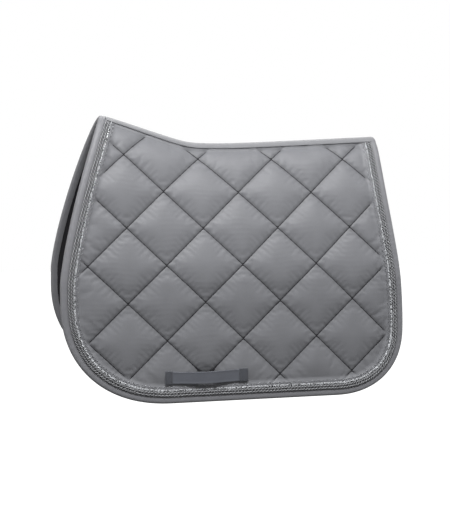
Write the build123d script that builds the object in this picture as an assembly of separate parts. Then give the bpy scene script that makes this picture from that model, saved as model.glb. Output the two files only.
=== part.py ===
from build123d import *
import math
import os

# A quilted saddle pad, draped as it lies on a horse: a back section with a peaked ridge, and
# a flat flap hanging on each side. +X runs to the horse's tail, -Y is the horse's left and +Z is up.
# The origin is on the underside of the spine seam, halfway along the pad.
# Sizes are in millimetres.
os.makedirs("parts", exist_ok=True)

# Layers
quilt = 10.0  # whole thickness of the quilting
skin = 1.2  # shell cloth, and the lining cloth
layer_gap = 0.05  # between layers that lie on each other
trim_gap = 0.25  # under the trims that are sewn on
seam_gap = 0.1  # between the two halves at the spine
inner_tape = 0.8  # tape over the spine seam, under the pad
outer_tape = 1.2  # tape over the spine seam, on top
tape_half_width = 20.0  # along the cloth

# Cross-section of the back
fold_half_width = 126.0  # from the centre to the outer face, where a flap begins
fold_height = -261.7
ridge_reach = 50.0  # how far the top keeps its level direction, mid-pad
withers_reach = 70.0  # the same at the withers, which are rounder
side_reach = 40.0  # how far the side keeps the flap's direction
flap_tilt = 4.9  # degrees, set so that a flap's weight hangs under its fold axis

# Topline
withers_start, withers_end, withers_slope, withers_softness = -84.0, -272.0, 0.322, 8.0
croup_start, croup_slope, croup_softness = -10.0, 0.062, 4.0

# Outline, as distances along the cloth from the fold: up is positive
front_ridge_x, front_sweep = -268.0, 88.0
front_curve, front_softness = 1.35, 0.06  # of the sweep, and of its start at the ridge
front_sweep_end, front_straight = 0.0, -30.0
rear_ridge_x, rear_waist_x, rear_widest_x = 326.0, 327.5, 356.0
rear_waist, rear_straight = 280.0, -100.0
flap_length = 238.5
front_corner_end_x, rear_corner_end_x = -134.0, 208.0
corner_squareness = 2.25  # 2 is an ellipse

# Trims, as distances in from the outer edge
binding_width, binding_thick = 14.0, 1.0
binding_gap = 0.3  # between the binding and the layers it wraps
cord_radius = 2.3
outer_cord_inset, inner_cord_inset = 17.0, 22.1
crystal_inset, crystal_width, crystal_height = 25.0, 5.0, 1.8

# Fold
axis_standoff = 5.2  # of the fold axis from the shell, clear of the cords
fold_bevel = 17.0  # degrees of relief on each side of the fold
fold_gap = 0.6
cord_end = 2.4  # bare length beside the fold

# Girth loop
loop_front_x, loop_rear_x = -152.0, 18.0
loop_middle, loop_width, webbing = 186.0, 27.0, 1.6
front_tack, rear_tack, tack_height = 15.0, 19.0, 0.8
loop_gap = 11.0

tilt = math.radians(flap_tilt)


def soft_ramp(run, softness):
    """A slope that starts gently: nothing well before run 0, and run well past it."""
    return (run + math.hypot(run, softness)) / 2


def ease(start, end, value):
    """0 at start and 1 at end, level at both."""
    part = min(1.0, max(0.0, (value - start) / (end - start)))
    return part * part * (3 - 2 * part)


def rise(x):
    """How far the withers and the croup lift the topline."""
    withers = soft_ramp(withers_slope * (withers_start - x), withers_softness)
    cap = soft_ramp(withers_slope * (withers_end - x), withers_softness)
    return withers - cap + soft_ramp(croup_slope * (x - croup_start), croup_softness)


def section(x, t, offset=0.0):
    """Half-width and height of the back at x, from the ridge (t 0) to the fold (t 1)."""
    top = quilt + inner_tape + rise(x) - rise(0)
    reach = ridge_reach + (withers_reach - ridge_reach) * ease(withers_start, withers_end, x)
    corners = (
        (0.0, top),
        (reach, top),
        (fold_half_width - side_reach * math.tan(tilt), fold_height + side_reach),
        (fold_half_width, fold_height),
    )
    s = 1 - t
    weights = (s**3, 3 * s * s * t, 3 * s * t * t, t**3)
    width, height = (sum(k * c[i] for k, c in zip(weights, corners)) for i in (0, 1))
    slopes = (s * s, 2 * s * t, t * t)
    steps = [[b[i] - a[i] for a, b in zip(corners, corners[1:])] for i in (0, 1)]
    across, up = (sum(k * c for k, c in zip(slopes, step)) for step in steps)
    length = math.hypot(across, up)
    return width - offset * up / length, height + offset * across / length


def cloth_above_fold(x, t):
    """Length of cloth from the fold up to t."""
    steps = 40
    points = [section(x, t + (1 - t) * i / steps) for i in range(steps + 1)]
    return sum(math.dist(a, b) for a, b in zip(points, points[1:]))


def t_above_fold(x, distance):
    """The t that lies a short distance of cloth above the fold."""
    return 1 - distance / (3 * math.dist(section(x, 1), section(x, 0.999)) / 0.003)


front_cloth = cloth_above_fold(withers_end, 0)
rear_cloth = cloth_above_fold(rear_ridge_x, 0)


def front_edge(cloth):
    """X of the front edge, a distance of cloth above the fold."""
    run = (front_cloth - cloth) / (front_cloth - front_sweep_end)
    run = min(1.0, max(0.0, run))
    run = run * run * (1 + front_softness) / (run + front_softness)
    return front_ridge_x - front_sweep * (1 - (1 - run) ** front_curve)


def rear_edge(cloth):
    """X of the rear edge, a distance of cloth above the fold."""
    lower = (rear_widest_x - rear_waist_x) * ease(rear_waist, rear_straight, cloth)
    upper = (rear_ridge_x - rear_waist_x) * ease(rear_waist, rear_cloth, cloth)
    return rear_waist_x + lower + upper


def inset_edge(edge, sign, cloth, inset):
    """X of a line that runs an inset inside an edge; sign is +1 from the front edge."""
    slope = edge(cloth + 0.5) - edge(cloth - 0.5)
    return edge(cloth) + sign * inset * math.hypot(1, slope)


def back_x(edge, sign, t, inset):
    """X on the back section, an inset inside an edge."""
    x = edge(cloth_above_fold(edge(0), t))
    return inset_edge(edge, sign, cloth_above_fold(x, t), inset)


def from_front(t, inset):
    return back_x(front_edge, 1, t, inset)


def from_rear(t, inset):
    return back_x(rear_edge, -1, t, inset)


def back_point(x, t, offset):
    """A point of the left half; a negative t is as far on the other side of the ridge."""
    width, height = section(x, abs(t), offset)
    return Vector(x, -width if t >= 0 else width, height)


def fold_clearance(offset):
    """Cloth left out beside the fold, more on the inside, so that a flap can swing inward."""
    return fold_gap + (axis_standoff - offset) * math.tan(math.radians(fold_bevel))


def block_between(lower, upper):
    """A solid between two grids of points, with ruled sides."""
    under, over = (Face.make_surface_from_array_of_points(grid) for grid in (lower, upper))
    sides = []
    for edge in under.edges():
        other = min(over.edges(), key=lambda e: (e @ 0.5 - edge @ 0.5).length)
        sides.append(Face.make_surface_from_curves(edge, other))
    solid = Solid(Shell([under, over, *sides]))
    return solid if solid.volume > 0 else Solid(Shell([-f for f in (under, over, *sides)]))


def back_patch(start, end, low, high, t_low=None, t_high=None, rows=17, columns=5):
    """A layer of the back from offset low to high, between two lines start(t) and end(t).

    It runs from t_low to t_high, or to the relieved edge beside the fold where one is left out.
    """
    grids = []
    for offset in (low, high):
        beside_fold = t_above_fold(0, fold_clearance(offset))
        first = -beside_fold if t_low is None else t_low
        last = beside_fold if t_high is None else t_high
        grid = []
        for i in range(rows):
            t = first + (last - first) * i / (rows - 1)
            left, right = start(abs(t)), end(abs(t))
            xs = [left + (right - left) * j / (columns - 1) for j in range(columns)]
            grid.append([back_point(x, t, offset) for x in xs])
        grids.append(grid)
    return block_between(*grids)


def t_below_ridge(distance):
    """The t that lies a distance of cloth below the ridge, mid-pad."""
    low, high = 0.0, 0.5
    whole = cloth_above_fold(0, 0)
    for _ in range(30):
        middle = (low + high) / 2
        if whole - cloth_above_fold(0, middle) < distance:
            low = middle
        else:
            high = middle
    return low


def fold_plane():
    """The plane of the left flap's outer face: +Y up the cloth, +Z outward."""
    return Plane(
        origin=(0, -fold_half_width, fold_height),
        x_dir=(1, 0, 0),
        z_dir=(0, -math.cos(tilt), math.sin(tilt)),
    )


def corner_points(middle_x, side_x, straight):
    """A lower corner, from the straight side down to the hem."""
    count = 10
    points = []
    for i in range(count + 1):
        angle = math.pi / 2 * i / count
        across = max(0.0, math.cos(angle)) ** (2 / corner_squareness)
        down = math.sin(angle) ** (2 / corner_squareness)
        drop = flap_length + straight
        points.append((middle_x + (side_x - middle_x) * across, straight - drop * down))
    return points


def side_points(edge, straight, middle_x):
    """One side of a flap from the fold to the hem, as (x, cloth above the fold)."""
    count = max(1, round(-straight / 25))
    upper = [(edge(straight * i / count), straight * i / count) for i in range(count)]
    return upper + corner_points(middle_x, edge(straight), straight)


def shifted(points, inset, turn):
    """The points moved inward by an inset; turn is +1 where inward is to the left."""
    moved = []
    for i, (x, y) in enumerate(points):
        before, after = points[max(0, i - 1)], points[min(len(points) - 1, i + 1)]
        along = (after[0] - before[0], after[1] - before[1])
        if i == 0:
            along = (0.0, -1.0)
        if i == len(points) - 1:
            along = (float(turn), 0.0)
        length = math.hypot(*along)
        moved.append((x - turn * inset * along[1] / length, y + turn * inset * along[0] / length))
    return moved


def outline(inset):
    """The two curved sides of a flap, each from the fold down to the hem."""
    front = side_points(front_edge, front_straight, front_corner_end_x)
    rear = side_points(rear_edge, rear_straight, rear_corner_end_x)
    return shifted(front, inset, 1), shifted(rear, inset, -1)


def outline_face(inset):
    front, rear = outline(inset)
    return Face(Wire([
        Spline(front),
        Line(front[-1], rear[-1]),
        Spline(list(reversed(rear))),
        Line(rear[0], front[0]),
    ]))


def slab(face, low, high):
    """The face of a flap thickened from offset low to high."""
    return extrude(Pos(0, 0, low) * face, amount=high - low)


def relieved(shape):
    """A flap's solid with its upper end cut back from the fold."""
    reach, half_run = 40.0, 600.0
    corners = [(-fold_clearance(-reach), -reach), (-fold_clearance(axis_standoff), axis_standoff)]
    wedge = make_face(Polyline(*corners, (reach, axis_standoff), (reach, -reach), close=True))
    cutter = extrude(Plane.YZ * wedge, amount=2 * half_run)
    return shape - Pos(-half_run, 0, 0) * cutter


def on_left(shape):
    """A flap's shape carried from its flat plane to its place."""
    return fold_plane().location * shape


def band(outer_inset, inner_inset, low, high):
    """A strip that follows a flap's edge."""
    return slab(outline_face(outer_inset) - outline_face(inner_inset), low, high)


def save(solid, name):
    solid.label = name
    export_step(solid, f"parts/{name}.step")


def save_pair(solid, name):
    """The left piece, and the right one as its mirror image."""
    save(solid, f"{name}_left")
    save(mirror(solid, about=Plane.XZ), f"{name}_right")


def tube(centres, normals):
    """A round cord through the centres; the normals keep its sections aligned."""
    sections = []
    for i, centre in enumerate(centres):
        before, after = centres[max(0, i - 1)], centres[min(len(centres) - 1, i + 1)]
        place = Plane(origin=centre, x_dir=normals[i], z_dir=after - before)
        halves = [Edge.make_circle(cord_radius, place, start, start + 180) for start in (0, 180)]
        sections.append(Wire(halves))
    return Solid.make_loft(sections)


def back_cord(line, inset):
    """A cord on the left of the back, from beside the spine tape to the fold."""
    count = 16
    start, stop = tape_end + cord_radius / tape_half_width * tape_end, t_above_fold(0, cord_end)
    ts = [start + (stop - start) * i / count for i in range(count + 1)]
    lift = cord_radius + trim_gap
    centres = [back_point(line(t, inset), t, lift) for t in ts]
    normals = [centre - back_point(line(t, inset), t, 0) for centre, t in zip(centres, ts)]
    return tube(centres, normals)


def flap_cord(inset):
    """A cord round the left flap, in the flap's own plane."""
    spacing = 20.0
    front, rear = outline(inset)
    first, last = front[-1], rear[-1]
    count = round((last[0] - first[0]) / spacing)
    hem = [(first[0] + (last[0] - first[0]) * i / count, first[1]) for i in range(1, count)]
    path = front + hem + list(reversed(rear))
    path[0] = (path[0][0], -cord_end)
    path[-1] = (path[-1][0], -cord_end)
    centres = [Vector(x, y, cord_radius + trim_gap) for x, y in path]
    return tube(centres, [Vector(0, 0, 1)] * len(centres))


def back_binding(line, t_low, rows):
    """The folded binding: over the edge, with a leg on each face of the quilting.

    The channel cut between the legs starts a little above t_low, clear of the upper end.
    """
    def between(first, second, low, high, start):
        lines = [lambda t: line(t, first), lambda t: line(t, second)]
        if line is from_rear:
            lines.reverse()
        return back_patch(*lines, low, high, start, rows=rows)

    out = binding_thick + trim_gap
    folded = between(0, binding_width, -quilt - out, out, t_low)
    inner_end = binding_width + crystal_width
    channel_start = t_low * 0.9 if t_low else None
    channel = between(binding_thick, inner_end, -quilt - trim_gap, trim_gap, channel_start)
    return folded - channel


tape_end = t_below_ridge(tape_half_width)
seam_t = seam_gap / 2 / (3 * ridge_reach)
layers = {
    "shell": (-skin, 0.0),
    "wadding": (-quilt + skin + layer_gap, -skin - layer_gap),
    "lining": (-quilt, -quilt + skin),
}
quilt_inset = binding_thick + binding_gap


def make_back():
    """The peaked section over the horse's back."""
    start, end = (lambda t: from_front(t, quilt_inset)), (lambda t: from_rear(t, quilt_inset))
    for name, (low, high) in layers.items():
        save_pair(back_patch(start, end, low, high, seam_t, rows=25, columns=49), f"back_{name}")

    save(back_binding(from_front, None, 41), "back_binding_front")
    save_pair(back_binding(from_rear, tape_end * 1.03, 17), "back_binding_rear")

    start, end = (lambda t: from_front(t, binding_width + binding_gap)), (lambda t: from_rear(t, 0))
    for name, low, high in (
        ("spine_tape", trim_gap, outer_tape),
        ("spine_tape_inner", -quilt - inner_tape, -quilt - trim_gap),
    ):
        save(back_patch(start, end, low, high, -tape_end, tape_end, rows=13, columns=49), name)

    for side, line in (("front", from_front), ("rear", from_rear)):
        save_pair(back_cord(line, outer_cord_inset), f"back_cord_outer_{side}")
        save_pair(back_cord(line, inner_cord_inset), f"back_cord_inner_{side}")
        lines = [lambda t: line(t, crystal_inset), lambda t: line(t, crystal_inset + crystal_width)]
        if side == "rear":
            lines.reverse()
        trim = back_patch(*lines, trim_gap, crystal_height, tape_end * 1.1, rows=33)
        save_pair(trim, f"back_crystals_{side}")


def girth_loop():
    """A webbing loop sewn down at both ends, bowed away from the flap between them."""
    front, rear = loop_front_x + front_tack, loop_rear_x - rear_tack
    count = 8
    bowed = [
        (front + (rear - front) * i / count, layer_gap + loop_gap * math.sin(math.pi * i / count) ** 2)
        for i in range(count + 1)
    ]
    under = [(loop_front_x, layer_gap), *bowed, (loop_rear_x, layer_gap)]
    over = [(x, z + webbing) for x, z in reversed(under)]
    sides = [
        Line(under[0], under[1]), Spline(under[1:-1]), Line(under[-2], under[-1]),
        Line(under[-1], over[0]),
        Line(over[0], over[1]), Spline(over[1:-1]), Line(over[-2], over[-1]),
        Line(over[-1], under[0]),
    ]
    profile = Plane.XZ * make_face(Wire(sides))
    strap = extrude(profile, amount=loop_width / 2, both=True)
    return Pos(0, -loop_middle, 0) * strap


def tack(start_x, length):
    """The sewn patch at one end of the girth loop."""
    height = layer_gap + webbing + layer_gap
    place = Pos(start_x + length / 2, -loop_middle, height + tack_height / 2)
    return place * Box(length, loop_width, tack_height)


def make_flap():
    """The flat flap that hangs below the fold."""
    for name, (low, high) in layers.items():
        sheet = relieved(slab(outline_face(quilt_inset), low, high))
        save_pair(on_left(sheet), f"flap_{name}")

    out = binding_thick + trim_gap
    folded = band(0, binding_width, -quilt - out, out)
    channel = slab(outline_face(binding_thick), -quilt - trim_gap, trim_gap)
    save_pair(on_left(relieved(folded - channel)), "flap_binding")

    save_pair(on_left(flap_cord(outer_cord_inset)), "flap_cord_outer")
    save_pair(on_left(flap_cord(inner_cord_inset)), "flap_cord_inner")
    crystals = band(crystal_inset, crystal_inset + crystal_width, trim_gap, crystal_height)
    save_pair(on_left(relieved(crystals)), "flap_crystals")

    save_pair(on_left(girth_loop()), "girth_loop")
    save_pair(on_left(tack(loop_front_x, front_tack)), "loop_tack_front")
    save_pair(on_left(tack(loop_rear_x - rear_tack, rear_tack)), "loop_tack_rear")


make_back()
make_flap()
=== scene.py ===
"""Looks of a quilted saddle pad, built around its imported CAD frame.

The cloth is laid out on a map of the pad: x runs to the horse's tail and c is the length of
cloth above the fold, so c is negative on the flaps. A point of the map is carried to its place
on the peaked back or the flat flap by place(). Sizes on the map are in millimetres.
"""
import math

import bmesh
import bpy
import numpy as np
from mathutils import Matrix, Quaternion, Vector
from mathutils.kdtree import KDTree


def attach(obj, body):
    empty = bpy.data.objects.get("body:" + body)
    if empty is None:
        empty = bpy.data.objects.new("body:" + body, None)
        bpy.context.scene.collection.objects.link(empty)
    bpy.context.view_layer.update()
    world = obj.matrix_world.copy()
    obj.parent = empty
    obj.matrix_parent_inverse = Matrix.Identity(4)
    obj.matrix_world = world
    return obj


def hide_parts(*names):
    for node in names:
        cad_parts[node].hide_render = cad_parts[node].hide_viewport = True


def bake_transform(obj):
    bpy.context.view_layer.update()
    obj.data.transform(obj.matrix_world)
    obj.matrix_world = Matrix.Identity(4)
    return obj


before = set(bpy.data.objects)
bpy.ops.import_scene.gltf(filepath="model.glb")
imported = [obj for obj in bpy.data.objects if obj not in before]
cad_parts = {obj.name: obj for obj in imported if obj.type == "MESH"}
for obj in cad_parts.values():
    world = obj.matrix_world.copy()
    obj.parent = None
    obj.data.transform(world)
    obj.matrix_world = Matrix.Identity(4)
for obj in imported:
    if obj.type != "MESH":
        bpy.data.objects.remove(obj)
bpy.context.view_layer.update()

# Shape of the pad, as in the CAD source
LAYER_TOP = 10.8
FOLD_HALF_WIDTH, FOLD_HEIGHT = 126.0, -261.7
RIDGE_REACH, WITHERS_REACH, SIDE_REACH = 50.0, 70.0, 40.0
TILT = math.radians(4.9)
WITHERS_START, WITHERS_END, WITHERS_SLOPE, WITHERS_SOFTNESS = -84.0, -272.0, 0.322, 8.0
CROUP_START, CROUP_SLOPE, CROUP_SOFTNESS = -10.0, 0.062, 4.0
FRONT_RIDGE_X, FRONT_SWEEP, FRONT_SWEEP_END, FRONT_STRAIGHT = -268.0, 88.0, 0.0, -30.0
FRONT_CURVE, FRONT_SOFTNESS = 1.35, 0.06
REAR_RIDGE_X, REAR_WAIST_X, REAR_WIDEST_X = 326.0, 327.5, 356.0
REAR_WAIST, REAR_STRAIGHT = 280.0, -100.0
HEM = -238.5
FRONT_CORNER_END_X, REAR_CORNER_END_X, CORNER_SQUARENESS = -134.0, 208.0, 2.25
LOOP_FRONT_X, LOOP_REAR_X, LOOP_MIDDLE = -152.0, 18.0, -186.0
LOOP_WIDTH, FRONT_TACK, REAR_TACK, LOOP_BOW = 27.0, 15.0, 19.0, 11.0
TACK_OVERHANG = 0.3
TACK_HALF_WIDTH = LOOP_WIDTH / 2 + TACK_OVERHANG

# Quilting: seams p and q cross at the corners of the diamonds
DIAMOND_HALF_X, DIAMOND_HALF_C = 78.0, 75.36
DIAMOND_X, DIAMOND_C = -302.0, 339.1  # where seam p = 0 crosses seam q = 0
FIRST_P, LAST_P = -1, 9
FIRST_Q, LAST_Q = -5, 5
CELLS = 23  # steps of the simulated cloth from one seam to the next

# Heights of the quilting, from the outer face of the CAD shell
EDGE_HEIGHT, SEAM_SINK, SEAM_GROOVE = -0.5, 5.2, 1.1
MIDDLE = -6.2  # where shell and lining meet
LINING_SINK, LINING_PUFF = 0.4, 0.6
LOOP_DENT, LOOP_DENT_RADIUS = 3.0, 20.0  # the hollow behind the middle of a girth loop

# Cloth and trims, as distances inside the edge
CLOTH_END = 6.0  # under the binding
STITCH_INSET = 12.1
CORD_INSETS = {"outer": 17.0, "inner": 22.1}
STONE_INSETS = (25.9, 27.8)
TRIM_END = 29.0
ZIGZAG_INSET, ZIGZAG_WIDTH, ZIGZAG_PITCH = 31.0, 3.6, 5.2
TAPE_HALF_WIDTH = 20.0
CORD_RADIUS, CORD_LEAD = 2.3, 21.0
NOSE_REACH, NOSE_HEIGHT = 5.6, -5.0  # the round of the binding and of the spine tape's end

SIDES = {"left": -1, "right": 1}


def soft_ramp(run, softness):
    """A slope that starts gently."""
    return (run + np.hypot(run, softness)) / 2


def ease(start, end, value):
    """0 at start and 1 at end, level at both."""
    part = np.clip((value - start) / (end - start), 0, 1)
    return part * part * (3 - 2 * part)


def rise(x):
    """How far the withers and the croup lift the topline."""
    withers = soft_ramp(WITHERS_SLOPE * (WITHERS_START - x), WITHERS_SOFTNESS)
    cap = soft_ramp(WITHERS_SLOPE * (WITHERS_END - x), WITHERS_SOFTNESS)
    return withers - cap + soft_ramp(CROUP_SLOPE * (x - CROUP_START), CROUP_SOFTNESS)


def section(x, t, offset=0.0):
    """Half-width and height of the back at x, from the ridge (t 0) to the fold (t 1)."""
    top = LAYER_TOP + rise(x) - rise(0.0)
    narrow = ease(WITHERS_START, WITHERS_END, x)
    reach = RIDGE_REACH + (WITHERS_REACH - RIDGE_REACH) * narrow
    below_side = FOLD_HALF_WIDTH - SIDE_REACH * math.tan(TILT)
    widths = (0 * x, reach, below_side + 0 * x, FOLD_HALF_WIDTH + 0 * x)
    heights = (top, top, FOLD_HEIGHT + SIDE_REACH + 0 * x, FOLD_HEIGHT + 0 * x)
    s = 1 - t
    weights = (s**3, 3 * s * s * t, 3 * s * t * t, t**3)
    slopes = (s * s, 2 * s * t, t * t)
    width = sum(k * v for k, v in zip(weights, widths))
    height = sum(k * v for k, v in zip(weights, heights))
    across = sum(k * (b - a) for k, a, b in zip(slopes, widths, widths[1:]))
    up = sum(k * (b - a) for k, a, b in zip(slopes, heights, heights[1:]))
    length = np.hypot(across, up)
    return width - offset * up / length, height + offset * across / length


# Tables that turn a length of cloth back into a place on the section
TABLE_X = np.arange(-384.0, 385.0, 4.0)
TABLE_T = np.linspace(0, 1, 161)
TABLE_SHARE = np.linspace(0, 1, 241)


def cloth_tables():
    """Cloth from fold to ridge at each x, and t at each share of it."""
    x, t = np.meshgrid(TABLE_X, TABLE_T, indexing="ij")
    width, height = section(x, t)
    steps = np.hypot(np.diff(width, axis=1), np.diff(height, axis=1))
    above = np.zeros_like(x)
    above[:, :-1] = np.cumsum(steps[:, ::-1], axis=1)[:, ::-1]
    whole = above[:, 0]
    shares = above / whole[:, None]
    t_at = [np.interp(TABLE_SHARE, row[::-1], TABLE_T[::-1]) for row in shares]
    return whole, np.array(t_at)


WHOLE_CLOTH, T_AT = cloth_tables()


def ridge_cloth(x):
    """Length of cloth from the fold up to the ridge at x."""
    return np.interp(x, TABLE_X, WHOLE_CLOTH)


def t_of(x, c):
    """The section's t at a length of cloth above the fold."""
    share = np.clip(c / ridge_cloth(x), 0, 1)
    u = np.clip((x - TABLE_X[0]) / (TABLE_X[1] - TABLE_X[0]), 0, len(TABLE_X) - 1.001)
    v = np.clip(share * (len(TABLE_SHARE) - 1), 0, len(TABLE_SHARE) - 1.001)
    i, j = u.astype(int), v.astype(int)
    u, v = u - i, v - j
    low = T_AT[i, j] * (1 - v) + T_AT[i, j + 1] * v
    high = T_AT[i + 1, j] * (1 - v) + T_AT[i + 1, j + 1] * v
    return low * (1 - u) + high * u


def place(x, c, h, side=-1):
    """Points of the pad in metres, h above the outer face; side is -1 on the horse's left."""
    x, c, h = (np.asarray(v, float) for v in np.broadcast_arrays(x, c, h))
    width, height = section(x, t_of(x, np.maximum(c, 0)), h)
    below = np.minimum(c, 0)
    width = width - below * math.sin(TILT)
    height = height + below * math.cos(TILT)
    return np.stack([x, side * width, height], axis=-1) / 1000


def place_across(x, across, h):
    """Points beside the ridge; across is negative on the horse's left."""
    x, across, h = np.broadcast_arrays(x, across, h)
    c = ridge_cloth(x) - np.abs(across)
    points = place(x, c, h)
    points[..., 1] *= np.where(across > 0, -1, 1)
    return points


FRONT_CLOTH = float(ridge_cloth(WITHERS_END))
REAR_CLOTH = float(ridge_cloth(REAR_RIDGE_X))


def front_edge(c):
    """x of the front edge at a length of cloth above the fold."""
    run = np.clip((FRONT_CLOTH - c) / (FRONT_CLOTH - FRONT_SWEEP_END), 0, 1)
    run = run * run * (1 + FRONT_SOFTNESS) / (run + FRONT_SOFTNESS)
    return FRONT_RIDGE_X - FRONT_SWEEP * (1 - (1 - run) ** FRONT_CURVE)


def rear_edge(c):
    """x of the rear edge at a length of cloth above the fold."""
    lower = (REAR_WIDEST_X - REAR_WAIST_X) * ease(REAR_WAIST, REAR_STRAIGHT, c)
    upper = (REAR_RIDGE_X - REAR_WAIST_X) * ease(REAR_WAIST, REAR_CLOTH, c)
    return REAR_WAIST_X + lower + upper


def corner(end_x, side_x, straight):
    """A lower corner, from the straight side down to the hem."""
    angle = np.linspace(0, math.pi / 2, 400)
    across = np.clip(np.cos(angle), 0, 1) ** (2 / CORNER_SQUARENESS)
    down = np.sin(angle) ** (2 / CORNER_SQUARENESS)
    return end_x + (side_x - end_x) * across, straight + (HEM - straight) * down


def make_outline(step):
    """The edge of one half, from the ridge at the front round to the ridge at the rear.

    Gives points on the map, directions along, inward normals and the distance along.
    """
    front_c = np.linspace(float(ridge_cloth(FRONT_RIDGE_X)), FRONT_STRAIGHT, 500)
    rear_c = np.linspace(float(ridge_cloth(REAR_RIDGE_X)), REAR_STRAIGHT, 500)
    front_corner = corner(FRONT_CORNER_END_X, front_edge(FRONT_STRAIGHT), FRONT_STRAIGHT)
    rear_corner = corner(REAR_CORNER_END_X, rear_edge(REAR_STRAIGHT), REAR_STRAIGHT)
    runs = [
        np.column_stack([front_edge(front_c), front_c]),
        np.column_stack(front_corner)[1:],
        np.column_stack(rear_corner)[::-1][:-1],
        np.column_stack([rear_edge(rear_c), rear_c])[::-1],
    ]
    points = np.vstack(runs)
    along = np.r_[0, np.cumsum(np.hypot(*np.diff(points, axis=0).T))]
    count = round(along[-1] / step)
    even = np.linspace(0, along[-1], count + 1)
    path = np.column_stack([np.interp(even, along, points[:, k]) for k in (0, 1)])
    tangent = np.gradient(path, axis=0)
    kernel = np.ones(5) / 5
    padded = np.pad(tangent, ((2, 2), (0, 0)), mode="edge")
    tangent = np.column_stack([np.convolve(padded[:, k], kernel, "valid") for k in (0, 1)])
    tangent /= np.linalg.norm(tangent, axis=1)[:, None]
    return path, tangent, np.column_stack([-tangent[:, 1], tangent[:, 0]]), even


OUTLINE, TANGENT, INWARD, ALONG = make_outline(step=1.3)


def inside_edge(rows, inset):
    """x and c of points inside the edge; inset has a row for each row of the outline."""
    points = OUTLINE[rows][:, None] + INWARD[rows][:, None] * inset[..., None]
    return points[..., 0], points[..., 1]


# ---------------------------------------------------------------- meshes


def mesh_object(name, points, faces, material, cloth, smooth=True):
    """A piece from points and faces, with outward normals and its cloth coordinates."""
    mesh = bpy.data.meshes.new(name)
    mesh.from_pydata(np.asarray(points).reshape(-1, 3).tolist(), [], faces)
    work = bmesh.new()
    work.from_mesh(mesh)
    bmesh.ops.recalc_face_normals(work, faces=work.faces)
    work.to_mesh(mesh)
    work.free()
    attribute = mesh.attributes.new("cloth", "FLOAT_VECTOR", "POINT")
    attribute.data.foreach_set("vector", np.asarray(cloth, np.float32).ravel())
    mesh.polygons.foreach_set("use_smooth", np.full(len(mesh.polygons), smooth))
    mesh.materials.append(material)
    piece = bpy.data.objects.new(name, mesh)
    bpy.context.scene.collection.objects.link(piece)
    return piece


def ring_faces(rings, ring_size):
    """Quads between rings of points, and a face at each end."""
    i = np.arange(rings - 1)[:, None] * ring_size
    j = np.arange(ring_size)[None, :]
    k = (j + 1) % ring_size
    quads = np.stack([i + j, i + k, i + k + ring_size, i + j + ring_size], axis=-1)
    last = (rings - 1) * ring_size
    ends = [list(range(ring_size))[::-1], list(range(last, last + ring_size))]
    return quads.reshape(-1, 4).tolist() + ends


def sweep(name, rings, material, cloth):
    """A closed piece through rings of points, as an array of rings, points and axes."""
    return mesh_object(name, rings, ring_faces(*rings.shape[:2]), material, cloth)


def scattered(name, shape, shape_faces, places, material, cloth, smooth=True):
    """Copies of a small shape at many places.

    places holds an origin and three axes for each copy, all in metres.
    """
    origins, axes = places
    points = origins[:, None, :] + np.einsum("tk,nkc->ntc", shape, axes)
    count, size = len(origins), len(shape)
    faces = [[v + n * size for v in face] for n in range(count) for face in shape_faces]
    return mesh_object(name, points, faces, material, cloth, smooth)


def axes_of(ahead, out):
    """Three axes 1 mm long for each place: ahead, across and outward."""
    ahead = ahead / np.linalg.norm(ahead, axis=1)[:, None]
    out = out / np.linalg.norm(out, axis=1)[:, None]
    return np.stack([ahead, np.cross(out, ahead), out], axis=1) / 1000


def frames_on_map(x, c, h, direction, side):
    """Origins and axes of places on the map, at height h, looking along a direction."""
    small = 0.5
    here = place(x, c, h, side)
    ahead = place(x + small * direction[:, 0], c + small * direction[:, 1], h, side)
    out = place(x, c, h + small, side)
    return here, axes_of(ahead - here, out - here)


def capsule(length, radius):
    """A stitch: a short thread with rounded ends, lying along its first axis."""
    sides = 5
    rings = ((-0.5, 0.45), (-0.28, 1.0), (0.28, 1.0), (0.5, 0.45))
    points = []
    for share, size in rings:
        for k in range(sides):
            angle = 2 * math.pi * k / sides
            across, up = size * radius * math.cos(angle), size * radius * math.sin(angle)
            points.append((share * length, across, up))
    return np.array(points), ring_faces(len(rings), sides)


def finish_half(piece, side_name, slot, *parts, extra=()):
    """Bakes a piece of one half into place, and hides the CAD nodes that it stands for."""
    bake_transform(piece)
    names = [f"{where}_{part}_{side_name}" for part in parts for where in ("back", "flap")]
    if names or extra:
        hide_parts(*names, *extra)


# ---------------------------------------------------------------- materials


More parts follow.
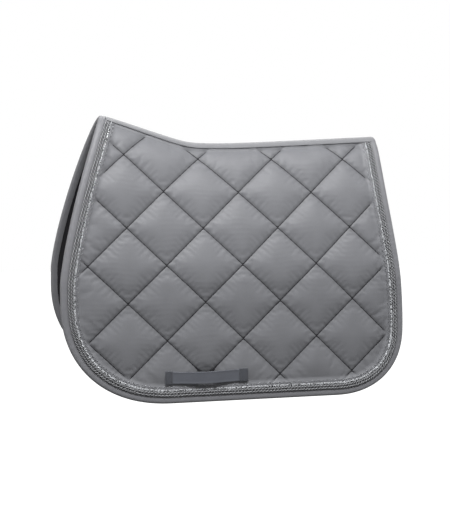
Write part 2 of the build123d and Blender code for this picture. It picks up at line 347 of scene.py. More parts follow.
class Look:
    """A principled material with helpers for its nodes."""

    def __init__(self, name, colour, roughness, **inputs):
        self.material = bpy.data.materials.new(name)
        self.material.use_nodes = True
        self.tree = self.material.node_tree
        self.shader = self.tree.nodes["Principled BSDF"]
        self.colour = (*colour, 1.0)
        self.set(self.shader, "Base Color", self.colour)
        self.set(self.shader, "Roughness", roughness)
        for key, value in inputs.items():
            self.set(self.shader, key.replace("_", " "), value)

    def set(self, node, key, value):
        node.inputs[key].default_value = value

    def node(self, kind, **inputs):
        """A node of a kind; an input may be a value or another node's output.

        A name such as _0 gives the input's place in the node.
        """
        node = self.tree.nodes.new(kind)
        for key, value in inputs.items():
            socket = node.inputs[int(key[1:])] if key[0] == "_" else node.inputs[key]
            if isinstance(value, bpy.types.NodeSocket):
                self.tree.links.new(value, socket)
            else:
                socket.default_value = value
        return node

    def link(self, output, key):
        self.tree.links.new(output, self.shader.inputs[key])

    def cloth(self):
        """The cloth coordinates that each piece's points carry."""
        node = self.tree.nodes.new("ShaderNodeAttribute")
        node.attribute_name = "cloth"
        return node.outputs["Vector"]

    def math(self, operation, first, second):
        node = self.node("ShaderNodeMath", _0=first, _1=second)
        node.operation = operation
        return node.outputs[0]

    def noise(self, vector, scale, detail):
        node = self.node("ShaderNodeTexNoise", Vector=vector, Scale=scale, Detail=detail)
        return node.outputs["Fac"]

    def wave(self, vector, scale, axis, distortion):
        node = self.node("ShaderNodeTexWave", Vector=vector, Scale=scale, Distortion=distortion)
        node.bands_direction = axis
        return node.outputs["Fac"]

    def ranged(self, value, low, high, new_low, new_high):
        node = self.node("ShaderNodeMapRange", _0=value, _1=low, _2=high, _3=new_low, _4=new_high)
        return node.outputs[0]

    def shade(self, factor):
        """Multiplies the colour by a factor that varies over the surface."""
        node = self.node("ShaderNodeVectorMath", _0=self.colour[:3])
        node.operation = "SCALE"
        self.tree.links.new(factor, node.inputs["Scale"])
        self.link(node.outputs[0], "Base Color")

    def bump(self, height, strength, distance):
        node = self.node("ShaderNodeBump", Strength=strength, Distance=distance, Height=height)
        self.link(node.outputs["Normal"], "Normal")

    def part(self, vector, axis):
        node = self.node("ShaderNodeSeparateXYZ", Vector=vector)
        return node.outputs[axis]


def woven(look, warp, weft, depth, variation, painted_groove_shade=None):
    """A plain or satin weave in bump, colour and roughness.

    warp and weft are thread spacings in millimetres, depth is in metres. The last argument holds two
    heights and the share of the colour that is left at the lower one: painted shade where the cloth
    lies low, in seams and grooves.
    """
    wave_period = 0.314
    cloth = look.cloth()
    threads = look.wave(cloth, wave_period / warp, "X", 0.6)
    picks = look.wave(cloth, wave_period / weft, "Y", 0.6)
    weave = look.math("MULTIPLY", threads, picks)
    weave = look.math("ADD", look.math("MULTIPLY", weave, 0.6), look.math("MULTIPLY", threads, 0.4))
    patches = look.noise(cloth, 0.035, 4.0)
    slubs = look.noise(cloth, 0.6, 2.0)
    factor = look.ranged(patches, 0.3, 0.7, 1 - variation, 1 + variation)
    factor = look.math("MULTIPLY", factor, look.ranged(slubs, 0.2, 0.8, 0.97, 1.03))
    factor = look.math("MULTIPLY", factor, look.ranged(weave, 0.0, 1.0, 0.94, 1.03))
    # painted shade: the colour darkens where the cloth lies low, in the seams and grooves
    if painted_groove_shade is not None:
        low, high, darkest = painted_groove_shade
        shade = look.ranged(look.part(cloth, "Z"), low, high, darkest, 1.0)
        factor = look.math("MULTIPLY", factor, shade)
    look.shade(factor)
    rough = look.shader.inputs["Roughness"].default_value
    look.link(look.ranged(slubs, 0.2, 0.8, rough - 0.05, rough + 0.05), "Roughness")
    look.bump(weave, 0.35, depth)
    return look


def satin_shell():
    look = Look("grey_satin", (0.219, 0.2225, 0.238), 0.47, Sheen_Weight=0.25, Sheen_Roughness=0.4)
    look.set(look.shader, "Specular IOR Level", 0.35)
    # painted shade in the quilting's seams and grooves, darkest at the lowest
    painted_groove_shade = (-6.8, -3.4, 0.62)
    return woven(look, warp=0.42, weft=0.3, depth=0.00012, variation=0.035, painted_groove_shade=painted_groove_shade).material


def lining_cloth():
    look = Look("charcoal_lining", (0.012, 0.012, 0.015), 0.8, Sheen_Weight=0.04)
    return woven(look, warp=0.8, weft=0.8, depth=0.0002, variation=0.08).material


def ribbon():
    look = Look("grey_binding", (0.231, 0.233, 0.25), 0.42, Sheen_Weight=0.3)
    return woven(look, warp=0.5, weft=0.9, depth=0.0002, variation=0.04).material


def tape_cloth():
    look = Look("grey_tape", (0.228, 0.231, 0.245), 0.5, Sheen_Weight=0.3)
    return woven(look, warp=0.6, weft=0.9, depth=0.0002, variation=0.04).material


def webbing_cloth(name, colour, roughness):
    look = Look(name, colour, roughness, Sheen_Weight=0.3)
    return woven(look, warp=2.4, weft=0.55, depth=0.00035, variation=0.05).material


def cord_yarn():
    look = Look("grey_cord", (0.315, 0.32, 0.335), 0.28, Sheen_Weight=0.1)
    cloth = look.cloth()
    fibres = look.wave(cloth, 0.55, "DIAGONAL", 0.5)
    # Z is the distance from the cord's middle: painted shade darkens the hollows between the strands,
    # and a painted highlight lightens their crowns
    strand = look.part(cloth, "Z")
    painted_strand_shading = look.ranged(strand, 1.76, 2.22, 0.02, 1.25)
    factor = look.math("MULTIPLY", look.ranged(fibres, 0, 1, 0.82, 1.08), painted_strand_shading)
    look.shade(factor)
    look.bump(fibres, 0.5, 0.00025)
    return look.material


def thread(name, colour):
    look = Look(name, colour, 0.5, Sheen_Weight=0.2)
    twist = look.noise(look.cloth(), 1.5, 2.0)
    look.shade(look.ranged(twist, 0.2, 0.8, 0.85, 1.12))
    look.bump(twist, 0.3, 0.0001)
    return look.material


def stone():
    look = Look("crystal", (0.93, 0.95, 0.98), 0.12, Metallic=0.15)
    look.set(look.shader, "Coat Weight", 0.5)
    look.set(look.shader, "Coat Roughness", 0.03)
    # painted glints: clusters of stones are made bright or dull by colour alone
    painted_stone_glints = look.noise(look.cloth(), 0.42, 3.0)
    look.shade(look.math("POWER", look.ranged(painted_stone_glints, 0.34, 0.52, 0.1, 1.05), 1.4))
    return look.material


def silver_thread(name, colour, metal):
    look = Look(name, colour, 0.35, Metallic=metal)
    # painted glints: the colour flickers from dark to bright along the thread; the same noise gives the
    # thread its bumps
    glint_and_bump_noise = look.noise(look.cloth(), 0.6, 3.0)
    look.shade(look.ranged(glint_and_bump_noise, 0.38, 0.62, 0.12, 1.1))
    look.bump(glint_and_bump_noise, 0.4, 0.0002)
    return look.material


LOOKS = {
    "shell": satin_shell(),
    "lining": lining_cloth(),
    "binding": ribbon(),
    "tape": tape_cloth(),
    "webbing": webbing_cloth("slate_webbing", (0.122, 0.13, 0.152), 0.33),
    "webbing_end": webbing_cloth("slate_webbing_end", (0.078, 0.083, 0.098), 0.5),
    "cord": cord_yarn(),
    "thread": thread("grey_thread", (0.13, 0.13, 0.135)),
    "dark_thread": thread("slate_thread", (0.06, 0.063, 0.07)),
    "crystals": stone(),
    "silver": silver_thread("silver_lurex", (0.6, 0.61, 0.64), 0.5),
    "braid": silver_thread("silver_braid", (0.3, 0.305, 0.32), 0.2),
}


# ---------------------------------------------------------------- quilting


def lattice(first, last, cells):
    """Seam numbers from the first to the last, in steps of one cell."""
    return np.arange(first * cells, last * cells + 1) / cells


def lattice_map(cells):
    """The map points of a grid that runs along the quilting seams."""
    p, q = np.meshgrid(lattice(FIRST_P, LAST_P, cells), lattice(FIRST_Q, LAST_Q, cells), indexing="ij")
    return DIAMOND_X + DIAMOND_HALF_X * (p + q), DIAMOND_C - DIAMOND_HALF_C * (p - q)


def edge_distance(x, c):
    """How far inside the edge each map point is."""
    tree = KDTree(len(OUTLINE))
    for i, (px, pc) in enumerate(OUTLINE):
        tree.insert((px, pc, 0), i)
    tree.balance()
    nearest = np.array([tree.find((px, pc, 0))[1] for px, pc in zip(x.ravel(), c.ravel())])
    away = np.stack([x.ravel(), c.ravel()], axis=1) - OUTLINE[nearest]
    return (away * INWARD[nearest]).sum(axis=1).reshape(x.shape)


def on_seam(cells, count):
    """Which of a grid's rows lie on a seam."""
    return np.arange(count) % cells == 0


def simulate_puffs(x, c, faces, used, pinned):
    """Lets air pressure lift the cloth between its seams; gives how far each point moved."""
    scale = 100.0  # millimetres to one unit of the simulation
    number = np.full(x.size, -1)
    number[used] = np.arange(used.sum())
    start = np.column_stack([x.ravel(), c.ravel(), np.zeros(x.size)])[used] / scale
    mesh = bpy.data.meshes.new("cloth_work")
    mesh.from_pydata(start.tolist(), [], number[faces].tolist())
    work = bpy.data.objects.new("cloth_work", mesh)
    bpy.context.scene.collection.objects.link(work)
    group = work.vertex_groups.new(name="sewn")
    group.add(np.flatnonzero(pinned.ravel()[used]).tolist(), 1.0, "REPLACE")
    modifier = work.modifiers.new("cloth", "CLOTH")
    cloth = modifier.settings
    cloth.quality = 5
    cloth.mass = 0.3
    cloth.tension_stiffness = 30
    cloth.compression_stiffness = 30
    cloth.shear_stiffness = 12
    cloth.bending_stiffness = 0.01
    cloth.tension_damping = 5
    cloth.compression_damping = 5
    cloth.shear_damping = 5
    cloth.bending_damping = 0.5
    cloth.air_damping = 2
    cloth.vertex_group_mass = "sewn"
    cloth.pin_stiffness = 1
    cloth.shrink_min = -0.015
    cloth.use_pressure = True
    cloth.uniform_pressure_force = 0.8
    cloth.effector_weights.gravity = 0
    modifier.collision_settings.use_collision = False
    frames = 30
    modifier.point_cache.frame_start = 1
    modifier.point_cache.frame_end = frames
    for number_of_frame in range(1, frames + 1):
        bpy.context.scene.frame_set(number_of_frame)
    done = work.evaluated_get(bpy.context.evaluated_depsgraph_get())
    moved = np.empty(used.sum() * 3)
    done.data.vertices.foreach_get("co", moved)
    moved = (moved.reshape(-1, 3) - start) * scale
    bpy.data.objects.remove(work)
    bpy.data.meshes.remove(mesh)
    bpy.context.scene.frame_set(1)
    result = np.zeros((x.size, 3))
    lowest, highest = (-3, -3, -0.5), (3, 3, 12)
    result[used] = np.clip(moved, lowest, highest)
    return result.reshape(*x.shape, 3)


def softened(moved, pinned):
    """The simulated cloth with its sharpest ripples eased; the seams keep still."""
    share = 0.36
    padded = np.pad(moved, ((1, 1), (1, 1), (0, 0)), mode="edge")
    around = padded[:-2, 1:-1] + padded[2:, 1:-1] + padded[1:-1, :-2] + padded[1:-1, 2:]
    return np.where(pinned[..., None], moved, moved * (1 - share) + around / 4 * share)


def refine_rows(field):
    """Twice as many rows: between seams a smooth curve, at a seam a crease."""
    count = len(field)
    i = np.arange(count - 1)
    before, after = field[np.maximum(i - 1, 0)], field[np.minimum(i + 2, count - 1)]
    here, ahead = field[i], field[i + 1]
    middle = (9 * (here + ahead) - before - after) / 16
    starts, ends = i % CELLS == 0, (i + 1) % CELLS == 0
    middle[starts] = (3 * here + 6 * ahead - after)[starts] / 8
    middle[ends] = (6 * here + 3 * ahead - before)[ends] / 8
    fine = np.empty((2 * count - 1, *field.shape[1:]))
    fine[::2], fine[1::2] = field, middle
    return fine


def refine(field):
    """Twice as many rows and columns."""
    return refine_rows(refine_rows(field).swapaxes(0, 1)).swapaxes(0, 1)


def cell_corners(mask):
    """Vertex numbers of the kept cells' corners, in order round each cell."""
    width = mask.shape[1] + 1
    i, j = np.nonzero(mask)
    first = i * width + j
    return np.stack([first, first + width, first + width + 1, first + 1], axis=1)


def rim_edges(mask):
    """The directed edges of kept cells that have no kept neighbour, as grid points."""
    padded = np.pad(mask, 1)
    edges = []
    for (di, dj), start, end in (
        ((0, -1), (0, 0), (1, 0)),
        ((1, 0), (1, 0), (1, 1)),
        ((0, 1), (1, 1), (0, 1)),
        ((-1, 0), (0, 1), (0, 0)),
    ):
        beside = padded[1 + di:padded.shape[0] - 1 + di, 1 + dj:padded.shape[1] - 1 + dj]
        i, j = np.nonzero(mask & ~beside)
        edges.append(np.stack([i + start[0], j + start[1], i + end[0], j + end[1]], axis=1))
    return np.vstack(edges)


def closed_layer(name, mask, over, under, fineness, material, cloth):
    """A closed piece between an upper grid and a lower grid of points.

    The upper grid may be finer than the lower one by a whole factor.
    """
    columns = mask.shape[1] + 1
    fine_columns = (columns - 1) * fineness + 1
    fine_mask = np.kron(mask, np.ones((fineness, fineness), bool))
    first_lower = over.shape[0] * over.shape[1]
    top = cell_corners(fine_mask)
    bottom = cell_corners(mask)[:, ::-1] + first_lower
    faces = top.tolist() + bottom.tolist()
    for i, j, k, m in rim_edges(mask):
        upper = [
            (i * fineness + (k - i) * n) * fine_columns + j * fineness + (m - j) * n
            for n in range(fineness + 1)
        ]
        lower = [first_lower + a * columns + b for a, b in ((i, j), (k, m))]
        faces.append([int(v) for v in (*upper[::-1], *lower)])
    points = np.vstack([over.reshape(-1, 3), under.reshape(-1, 3)])
    used = np.zeros(len(points), bool)
    used[[v for face in faces for v in face]] = True
    number = np.cumsum(used) - 1
    faces = [[int(number[v]) for v in face] for face in faces]
    return mesh_object(name, points[used], faces, material, cloth[used])


def ripples(x, c):
    """Faint ripples of the cloth, mostly level, in patches."""
    height = 0.075
    waves = np.sin(c * 0.64 + 1.4 * np.sin(x * 0.029) + 0.9 * np.sin(x * 0.083 + c * 0.03))
    patches = 0.5 + 0.5 * np.sin(x * 0.051 + c * 0.023 + 1.5 * np.sin(c * 0.037))
    return height * waves * patches


def quilted_heights(x, c, inside, from_ridge, moved):
    """Places and heights of the shell on the fine grid: puffs, grooves, ripples and dents.

    x and c are the fine grid's; inside, from_ridge and moved are on the simulated grid.
    """
    beyond_trims = ease(TRIM_END - 1, TRIM_END + 12, inside)
    beyond_tape = ease(TAPE_HALF_WIDTH - 2, TAPE_HALF_WIDTH + 6, from_ridge)
    free = np.clip(refine(np.minimum(beyond_trims, beyond_tape)), 0, 1)
    moved = refine(moved)
    seam_p, seam_q = (on_seam(2 * CELLS, count) for count in x.shape)
    groove = np.where(seam_p[:, None] | seam_q[None, :], SEAM_GROOVE, 0)
    h = EDGE_HEIGHT - SEAM_SINK * free + moved[..., 2] - groove * free
    h = h + ripples(x, c) * free
    from_loop = np.hypot(x - (LOOP_FRONT_X + LOOP_REAR_X) / 2, c - LOOP_MIDDLE)
    h = h - LOOP_DENT * np.exp(-((from_loop / LOOP_DENT_RADIUS) ** 2)) * free
    return x + moved[..., 0], c + moved[..., 1], h


def make_quilting():
    """Shell and lining of both halves, from one simulated cloth."""
    x, c = lattice_map(CELLS)
    inside = edge_distance(x, c)
    from_ridge = ridge_cloth(x) - c
    spine_gap = 1.5
    kept = (inside > CLOTH_END) & (from_ridge > spine_gap)
    mask = kept[:-1, :-1] & kept[1:, :-1] & kept[1:, 1:] & kept[:-1, 1:]
    used = np.zeros(x.size, bool)
    faces = cell_corners(mask)
    used[faces.ravel()] = True
    seam = on_seam(CELLS, x.shape[0])[:, None] | on_seam(CELLS, x.shape[1])[None, :]
    pinned = seam | (inside < TRIM_END) | (from_ridge < TAPE_HALF_WIDTH)
    moved = softened(simulate_puffs(x, c, faces, used, pinned), pinned)

    fine_x, fine_c = lattice_map(2 * CELLS)
    shell_x, shell_c, shell_h = quilted_heights(fine_x, fine_c, inside, from_ridge, moved)
    puff = shell_h[::2, ::2] - EDGE_HEIGHT + SEAM_SINK
    lining_h = MIDDLE - LINING_SINK - LINING_PUFF * puff
    apart = 0.05  # keeps the faces where shell and lining meet from lying in each other

    for side_name, side in SIDES.items():
        over = place(shell_x, shell_c, shell_h, side)
        middle = place(x, c, MIDDLE, side)
        cloth = np.concatenate([
            np.stack([fine_x, fine_c, shell_h], axis=-1).reshape(-1, 3),
            np.stack([x, c, 0 * x + MIDDLE], axis=-1).reshape(-1, 3),
        ])
        shell = closed_layer(f"quilted_shell_{side_name}", mask, over, middle, 2, LOOKS["shell"], cloth)
        finish_half(shell, side_name, "shell", "shell", "wadding")

        inner = place(x, c, lining_h, side)
        back = place(x, c, MIDDLE - apart, side)
        cloth = np.tile(np.stack([x, c, lining_h], axis=-1).reshape(-1, 3), (2, 1))
        name = f"quilted_lining_{side_name}"
        lining = closed_layer(name, mask, inner, back, 1, LOOKS["lining"], cloth)
        finish_half(lining, side_name, "lining", "lining")


# ---------------------------------------------------------------- trims


def make_binding():
    """The folded ribbon over the edge, with its topstitching."""
    nose = np.linspace(0, math.pi, 13)
    top_leg = [(14.0, 0.0), (13.7, 0.8), (12.9, 1.15), (12.0, 0.95), (11.2, 1.25), (8.5, 1.5)]
    bottom_leg = [(d, 2 * NOSE_HEIGHT - h) for d, h in reversed(top_leg)]
    outer_nose = [(NOSE_REACH * (1 - math.sin(a)), NOSE_HEIGHT + 6.4 * math.cos(a)) for a in nose]
    inner_nose = [(5.8 - 4.8 * math.sin(a), NOSE_HEIGHT + 5.5 * math.cos(a)) for a in nose[::2]]
    inner = [(13.2, 0.1), (8.5, 0.5), *inner_nose, (8.5, -10.5), (13.2, -10.1)]
    profile = np.array(top_leg + outer_nose + bottom_leg + inner[::-1])
    inset, height = profile[None, :, 0], profile[None, :, 1]
    rows = slice(None, None, 2)
    along = ALONG[rows][:, None]
    from_ridge = np.minimum(along, ALONG[-1] - along)
    near_ridge = 30
    over = np.exp(-((inset - 7) / 5) ** 2) * np.sign(height - NOSE_HEIGHT)
    pucker = 0.16 * np.sin(along * 0.83 + np.sin(along * 0.11) * 2) + 0.12 * np.sin(along * 0.37)
    high = height + pucker * over
    flat = inset + 0.12 * np.sin(along * 0.29) * (inset > 12)
    wrap = np.cumsum(np.r_[0, np.hypot(*np.diff(profile, axis=0).T)])
    cloth = np.stack([along + 0 * flat, wrap[None, :] + 0 * flat, high], axis=-1)
    x, c = inside_edge(rows, flat)
    c = np.where(from_ridge < near_ridge, np.minimum(c, ridge_cloth(x)), c)
    for side_name, side in SIDES.items():
        rings = place(x, c, high, side)
        piece = sweep(f"edge_binding_{side_name}", rings, LOOKS["binding"], cloth)
        extra = [f"back_binding_rear_{side_name}", f"flap_binding_{side_name}"]
        if side_name == "left":
            extra.append("back_binding_front")
        finish_half(piece, side_name, "binding", extra=extra)
        make_binding_stitches(side_name)


def make_binding_stitches(side_name):
    """The line of stitches that holds the binding down."""
    height, pitch, under_tape = 1.15, 3.4, 14
    every = round(pitch / (ALONG[1] - ALONG[0]))
    rows = np.arange(under_tape, len(OUTLINE) - under_tape, every)
    points = OUTLINE[rows] + INWARD[rows] * STITCH_INSET
    shape, faces = capsule(0.72 * pitch, 0.26)
    places = frames_on_map(*points.T, height, TANGENT[rows], SIDES[side_name])
    cloth = np.tile(shape, (len(rows), 1)) + np.repeat(ALONG[rows], len(shape))[:, None]
    name = f"binding_stitches_{side_name}"
    piece = scattered(name, shape, faces, places, LOOKS["thread"], cloth)
    finish_half(piece, side_name, "binding")


def strand_profile(points_per_strand):
    """Angle and radius of a three-strand cord's outline; out is how far off-centre a strand is."""
    strands, out, size = 3, 1.07, 1.24
    spacing = 360 / strands
    delta = np.linspace(-spacing / 2, spacing / 2, points_per_strand, endpoint=False)
    sideways = out * np.sin(np.radians(delta))
    radius = out * np.cos(np.radians(delta)) + np.sqrt(size**2 - sideways**2)
    angles = np.concatenate([delta + spacing * k for k in range(strands)])
    return np.radians(angles), np.tile(radius, strands)


def make_cords():
    """Two twisted cords beside the binding."""
    angles, radii = strand_profile(6)
    # their ends lie under the spine tape, where they are thinner and lower
    from_ridge = np.minimum(ALONG, ALONG[-1] - ALONG)
    rows = from_ridge > TAPE_HALF_WIDTH - 1.5
    end = ease(TAPE_HALF_WIDTH - 2, TAPE_HALF_WIDTH + 5, from_ridge[rows])
    along = ALONG[rows]
    for label, phase in (("outer", 0.0), ("inner", 1.3)):
        for side_name, side in SIDES.items():
            turn = angles[None, :] + phase + side * 2 * math.pi * along[:, None] / CORD_LEAD
            swell = 1 + 0.03 * np.sin(along * 0.21 + phase)
            reach = radii[None, :] * (swell * (0.45 + 0.55 * end))[:, None]
            wander = CORD_INSETS[label] + 0.15 * np.sin(along * 0.09 + phase)
            flat = wander[:, None] + reach * np.cos(turn)
            high = (CORD_RADIUS - 0.4) * (0.4 + 0.6 * end)[:, None] + reach * np.sin(turn)
            rings = place(*inside_edge(rows, flat), high, side)
            cloth = np.stack([
                along[:, None] + 0 * flat,
                3.0 * angles[None, :] + 0 * flat,
                radii[None, :] + 0 * flat,
            ], axis=-1)
            piece = sweep(f"twisted_cord_{label}_{side_name}", rings, LOOKS["cord"], cloth)
            extra = [f"back_cord_{label}_{end_name}_{side_name}" for end_name in ("front", "rear")]
            finish_half(piece, side_name, "cord", extra=[*extra, f"flap_cord_{label}_{side_name}"])


def faceted_stone(width, height):
    """A round stone with a flat table, and its faces."""
    sides = 7
    points = []
    for share, up in ((1.0, 0.0), (1.0, 0.25), (0.52, 1.0)):
        radius = share * width / 2
        for k in range(sides):
            angle = 2 * math.pi * (k + 0.5 * (share < 1)) / sides
            points.append((radius * math.cos(angle), radius * math.sin(angle), up * height))
    return np.array(points), ring_faces(3, sides)


def make_stones(side_name, random):
    """Two rows of small stones, each at its own lean and size."""
    shape, faces = faceted_stone(2.1, 1.25)
    height, under_tape = 0.35, 12
    origins, axes, marks = [], [], []
    for row, inset in enumerate(STONE_INSETS):
        rows = np.arange(under_tape + row, len(OUTLINE) - under_tape, 2)
        points = OUTLINE[rows] + INWARD[rows] * (inset + random.normal(0, 0.12, len(rows)))[:, None]
        here, frames = frames_on_map(*points.T, height, TANGENT[rows], SIDES[side_name])
        lean = random.normal(0, 0.16, (len(rows), 2))
        frames[:, 0] += lean[:, :1] * frames[:, 2]
        frames[:, 1] += lean[:, 1:] * frames[:, 2]
        origins.append(here)
        axes.append(frames * random.uniform(0.85, 1.1, len(rows))[:, None, None])
        # the rows lie far apart in cloth coordinates, so that their painted glints differ
        spread = 40.0 * row + random.normal(0, 0.8, (len(rows), 2))
        marks.append(np.column_stack([ALONG[rows], spread]))
    places = np.concatenate(origins), np.concatenate(axes)
    cloth = np.repeat(np.concatenate(marks), len(shape), axis=0)
    name = f"crystals_{side_name}"
    stones = scattered(name, shape, faces, places, LOOKS["crystals"], cloth, smooth=False)
    extra = [f"back_crystals_{end}_{side_name}" for end in ("front", "rear")]
    finish_half(stones, side_name, "crystals", extra=[*extra, f"flap_crystals_{side_name}"])


def make_braid(side_name):
    """The flat silver braid that the stones sit on."""
    profile = np.array([(24.8, -0.5), (24.8, 0.2), (26.8, 0.5), (28.9, 0.2), (28.9, -0.5)])
    rows = slice(10, len(OUTLINE) - 10, 2)
    along = ALONG[rows][:, None]
    flat = profile[None, :, 0] + 0 * along
    high = profile[None, :, 1] + 0 * along
    rings = place(*inside_edge(rows, flat), high, SIDES[side_name])
    cloth = np.stack([along + 0 * flat, flat, high], axis=-1)
    braid = sweep(f"silver_braid_{side_name}", rings, LOOKS["braid"], cloth)
    finish_half(braid, side_name, "crystals")


def make_zigzag(side_name):
    """A zigzag of silver thread beside the braid."""
    radius, sides = 0.42, 6
    rows = np.arange(12, len(OUTLINE) - 12)
    along = ALONG[rows]
    swing = np.abs((along / ZIGZAG_PITCH) % 2 - 1)
    inset = ZIGZAG_INSET + ZIGZAG_WIDTH * swing
    angle = np.arange(sides) * 2 * math.pi / sides
    flat = inset[:, None] + radius * np.cos(angle)[None, :]
    high = 0.35 + radius * np.sin(angle)[None, :] + 0 * flat
    high = high - 1.2 * ease(ZIGZAG_INSET, ZIGZAG_INSET + 4, inset)[:, None]
    rings = place(*inside_edge(rows, flat), high, SIDES[side_name])
    cloth = np.stack([along[:, None] + 0 * flat, angle[None, :] + 0 * flat, high], axis=-1)
    zigzag = sweep(f"silver_zigzag_{side_name}", rings, LOOKS["silver"], cloth)
    finish_half(zigzag, side_name, "crystals")


def make_crystals():
    """The trim inside the cords: stones, braid and zigzag."""
    random = np.random.default_rng(7)
    for side_name in SIDES:
        make_stones(side_name, random)
        make_braid(side_name)
        make_zigzag(side_name)


def path_over_rear(x_start, lift, drop):
    """Points (x, h) and outward directions along the ridge and down over the rear edge."""
    nose_x = REAR_RIDGE_X - NOSE_REACH
    points = [(x, lift, 0.0, 1.0) for x in np.linspace(x_start, nose_x, 230)]
    for angle in np.linspace(0, math.pi / 2, 9)[1:]:
        out, up = math.sin(angle), math.cos(angle)
        x = nose_x + (NOSE_REACH + lift) * out
        h = NOSE_HEIGHT + (lift - NOSE_HEIGHT) * up
        points.append((x, h, out, up))
    for h in np.linspace(NOSE_HEIGHT, NOSE_HEIGHT - drop, 5)[1:]:
        points.append((REAR_RIDGE_X + lift, h, 1.0, 0.0))
    return np.array(points)


def make_tape_over():
    """The tape over the spine seam, turned down over the rear edge."""
    half = TAPE_HALF_WIDTH
    from_edge = [(-0.2, 0.0), (0.0, 0.7), (0.8, 1.15), (2.0, 0.95), (3.2, 1.3), (7.0, 1.5), (11.0, 1.6)]
    left = [(d - half, h) for d, h in from_edge] + [(-5.0, 1.75), (-1.5, 1.95), (-0.5, 1.7)]
    top = left + [(-a, h) for a, h in reversed(left)]
    bottom = [(share * (half - 2), 0.45 - 0.45 * abs(share)) for share in np.linspace(1, -1, 9)]
    profile = np.array(top + bottom)
    path = path_over_rear(FRONT_RIDGE_X + 13.0, 0.2, 5.0)
    path_x, path_h, out, up = (path[:, k][:, None] for k in range(4))
    across = profile[None, :, 0] + 0 * path_x
    from_middle = np.abs(profile[None, :, 0])
    lift = profile[None, :, 1] + 0.1 * np.sin(path_x * 0.21) * (from_middle > half - 5)
    # the trims' upper ends lie under the tape's edges
    near_edge = ease(half - 5, half, from_middle)
    for trim_x in (FRONT_RIDGE_X + 20, REAR_RIDGE_X - 20):
        lift = lift + 1.5 * np.exp(-((path_x - trim_x) / 7) ** 2) * near_edge
    x, h = path_x + out * lift, path_h + up * lift
    rings = place_across(np.minimum(x, TABLE_X[-1]), across, h)
    tape = sweep("spine_tape_over", rings, LOOKS["tape"], np.stack([x, across, h], axis=-1))
    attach(tape, "back_section")
    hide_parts("spine_tape")


def make_tape_under():
    """The tape under the spine seam."""
    half = TAPE_HALF_WIDTH
    xs = np.linspace(FRONT_RIDGE_X + 12, REAR_RIDGE_X - 12, 160)[:, None]
    shares = np.linspace(-0.95, 0.95, 9)
    profile = np.array(
        [(-half, -10.6)]
        + [(share * half, -11.5 + 0.2 * abs(share)) for share in shares]
        + [(half, -10.6)]
        + [(share * half, -10.3 + 0.1 * abs(share)) for share in shares[::-1]]
    )
    x, across, h = np.broadcast_arrays(xs, profile[None, :, 0], profile[None, :, 1])
    cloth = np.stack([x, across, h], axis=-1)
    tape = sweep("spine_tape_under", place_across(x, across, h), LOOKS["tape"], cloth)
    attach(tape, "back_section")
    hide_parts("spine_tape_inner")


def make_spine_stitches():
    """A row of stitches along each edge of the upper tape."""
    shape, faces = capsule(2.5, 0.26)
    height, small = 1.25, 0.5
    xs = np.arange(FRONT_RIDGE_X + 16, REAR_RIDGE_X - 6, 3.5)
    origins, axes = [], []
    for across in (2.0 - TAPE_HALF_WIDTH, TAPE_HALF_WIDTH - 2.0):
        here = place_across(xs, across, height)
        ahead = place_across(xs + small, across, height) - here
        out = place_across(xs, across, height + small) - here
        origins.append(here)
        axes.append(axes_of(ahead, out))
    places = np.concatenate(origins), np.concatenate(axes)
    cloth = np.tile(shape, (len(places[0]), 1))
    stitches = scattered("spine_stitches", shape, faces, places, LOOKS["thread"], cloth)
    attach(stitches, "back_section")


# ---------------------------------------------------------------- girth loops


def strap_height(x):
    """Height of the strap's underside above the shell."""
    front, rear = LOOP_FRONT_X + FRONT_TACK, LOOP_REAR_X - REAR_TACK
    share = np.clip((x - front) / (rear - front), 0, 1)
    return 0.3 + LOOP_BOW * 0.7 * np.sin(math.pi * share) ** 2


def make_girth_loops():
    """A webbing strap on each flap, sewn down at both ends."""
    half = LOOP_WIDTH / 2 - 1.5
    profile = np.array([
        (-half, 0.3), (-half, 1.1), (-half + 0.5, 1.55), (-half + 1.6, 1.6), (-half + 2.2, 1.4),
        (-6, 1.5), (0, 1.55), (6, 1.5),
        (half - 2.2, 1.4), (half - 1.6, 1.6), (half - 0.5, 1.55), (half, 1.1), (half, 0.3),
        (half - 0.6, 0.0), (0, 0.0), (-half + 0.6, 0.0),
    ])
    xs = np.linspace(LOOP_FRONT_X, LOOP_REAR_X, 120)
    for side_name, side in SIDES.items():
        body = f"{side_name}_flap"
        x = xs[:, None] + 0 * profile[None, :, 0]
        sag = 1.2 * np.sin(math.pi * (xs - LOOP_FRONT_X) / (LOOP_REAR_X - LOOP_FRONT_X))[:, None]
        c = LOOP_MIDDLE - sag + profile[None, :, 0]
        h = strap_height(xs)[:, None] + profile[None, :, 1]
        cloth = np.stack([x, c, h], axis=-1)
        strap = sweep(f"girth_strap_{side_name}", place(x, c, h, side), LOOKS["webbing"], cloth)
        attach(strap, body)
        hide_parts(f"girth_loop_{side_name}")
        make_tack("front", LOOP_FRONT_X, FRONT_TACK, side_name)
        make_tack("rear", LOOP_REAR_X - REAR_TACK, REAR_TACK, side_name)


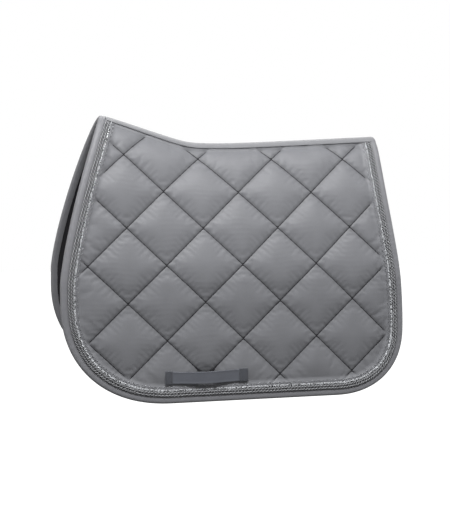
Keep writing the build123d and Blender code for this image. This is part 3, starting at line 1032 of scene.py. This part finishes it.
def make_tack(end, start_x, length, side_name):
    """The turned end of a strap, as long as its sewn part."""
    side, half = SIDES[side_name], TACK_HALF_WIDTH
    profile = np.array([
        (-half, -0.4), (-half, 0.9), (-half + 0.5, 1.5), (-half + 2.4, 1.7), (0, 1.85),
        (half - 2.4, 1.7), (half - 0.5, 1.5), (half, 0.9), (half, -0.4),
    ])
    share = np.linspace(0, 1, 24)
    xs = start_x - TACK_OVERHANG + (length + 2 * TACK_OVERHANG) * share
    crown = np.clip(np.minimum(share, 1 - share) * length / 1.2, 0, 1)
    crown = np.sqrt(1 - (1 - crown) ** 2)
    x = xs[:, None] + 0 * profile[None, :, 0]
    c = LOOP_MIDDLE + profile[None, :, 0] * (0.985 + 0.015 * crown[:, None])
    h = 1.0 + profile[None, :, 1] * np.where(profile[None, :, 1] > 0, 0.35 + 0.65 * crown[:, None], 1)
    cloth = np.stack([x, c, h], axis=-1)
    patch = sweep(f"strap_end_{end}_{side_name}", place(x, c, h, side), LOOKS["webbing_end"], cloth)
    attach(patch, f"{side_name}_flap")
    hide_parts(f"loop_tack_{end}_{side_name}")
    make_tack_stitches(end, start_x, length, side_name)


def make_tack_stitches(end, start_x, length, side_name):
    """Stitches round a sewn end, with a cross inside."""
    pitch, height = 2.9, 2.75
    left, right = start_x + 2.0, start_x + length - 2.0
    low, high = LOOP_MIDDLE - TACK_HALF_WIDTH + 3, LOOP_MIDDLE + TACK_HALF_WIDTH - 3
    corners = [(left, low), (right, low), (right, high), (left, high)]
    lines = list(zip(corners, corners[1:] + corners[:1]))
    lines += [(corners[0], corners[2]), (corners[1], corners[3])]
    points, directions = [], []
    for start, stop in np.array(lines):
        run = math.hypot(*(stop - start))
        count = max(2, round(run / pitch))
        share = (np.arange(count) + 0.5) / count
        points.append(start + (stop - start) * share[:, None])
        directions.append(np.tile((stop - start) / run, (count, 1)))
    points, directions = np.vstack(points), np.vstack(directions)
    shape, faces = capsule(2.3, 0.28)
    places = frames_on_map(*points.T, height, directions, SIDES[side_name])
    cloth = np.tile(shape, (len(points), 1))
    name = f"strap_stitches_{end}_{side_name}"
    stitches = scattered(name, shape, faces, places, LOOKS["dark_thread"], cloth)
    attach(stitches, f"{side_name}_flap")


# ---------------------------------------------------------------- stage


LIT_MIDDLE = (0, 0, -0.22)


def aim(thing, target):
    """Turns a light or camera to look at a point."""
    direction = Vector(target) - thing.location
    thing.rotation_mode = "QUATERNION"
    thing.rotation_quaternion = direction.to_track_quat("-Z", "Y")


def make_light(name, location, size, power):
    """A rectangular light that faces the middle of the pad."""
    data = bpy.data.lights.new(name, "AREA")
    data.shape = "RECTANGLE"
    data.size, data.size_y = size
    data.energy = power
    light = bpy.data.objects.new(name, data)
    light.location = location
    aim(light, LIT_MIDDLE)
    bpy.context.scene.collection.objects.link(light)


def make_floor():
    """A pale floor far below, which lights nothing."""
    size, floor_z = 9.0, -1.7
    floor_mesh = bpy.data.meshes.new("floor")
    corners = [(x * size, y * size, floor_z) for x, y in ((-1, -1), (1, -1), (1, 1), (-1, 1))]
    floor_mesh.from_pydata(corners, [], [(0, 1, 2, 3)])
    floor = bpy.data.objects.new("floor", floor_mesh)
    bpy.context.scene.collection.objects.link(floor)
    look = Look("pale_floor", (0.9, 0.9, 0.9), 0.9)
    look.set(look.shader, "Emission Color", (1, 1, 1, 1))
    look.set(look.shader, "Emission Strength", 1.0)
    floor_mesh.materials.append(look.material)
    floor.visible_diffuse = False
    floor.visible_glossy = False


def make_world():
    """A white background for the camera, and a dim even light for everything else."""
    world = bpy.data.worlds.new("studio")
    bpy.context.scene.world = world
    world.use_nodes = True
    nodes, links = world.node_tree.nodes, world.node_tree.links
    seen = nodes.new("ShaderNodeBackground")
    seen.inputs["Color"].default_value = (1, 1, 1, 1)
    seen.inputs["Strength"].default_value = 1.0
    ambient = nodes["Background"]
    ambient.inputs["Color"].default_value = (1, 1, 1, 1)
    ambient.inputs["Strength"].default_value = 0.2
    path = nodes.new("ShaderNodeLightPath")
    mix = nodes.new("ShaderNodeMixShader")
    links.new(path.outputs["Is Camera Ray"], mix.inputs[0])
    links.new(ambient.outputs[0], mix.inputs[1])
    links.new(seen.outputs[0], mix.inputs[2])
    links.new(mix.outputs[0], nodes["World Output"].inputs["Surface"])


def make_stage():
    """Floor, background and lights."""
    make_floor()
    make_world()
    make_light("key", location=(-0.3, -1.3, 2.0), size=(1.8, 1.2), power=84)
    make_light("back", location=(0.4, 1.8, 1.4), size=(2.4, 1.6), power=26)
    make_light("left_fill", location=(-2.4, -0.6, 0.3), size=(1.4, 1.8), power=7)
    make_light("right_fill", location=(2.4, -0.4, 0.3), size=(1.4, 1.8), power=7)
    bpy.context.scene.view_settings.view_transform = "Standard"


def make_camera():
    """The photo's view: from the horse's left, a little ahead and above."""
    location, target, roll = (-0.508, -2.0186, 0.0715), (0.001, 0, -0.2338), math.radians(1.18)
    data = bpy.data.cameras.new("camera")
    camera = bpy.data.objects.new("camera", data)
    camera.location = location
    aim(camera, target)
    camera.rotation_quaternion = camera.rotation_quaternion @ Quaternion((0, 0, 1), roll)
    data.lens = 68.56
    data.sensor_width = 36
    data.clip_end = 50
    bpy.context.scene.collection.objects.link(camera)
    bpy.context.scene.camera = camera


make_camera()
make_stage()
make_quilting()
make_binding()
make_cords()
make_crystals()
make_tape_over()
make_tape_under()
make_spine_stitches()
make_girth_loops()
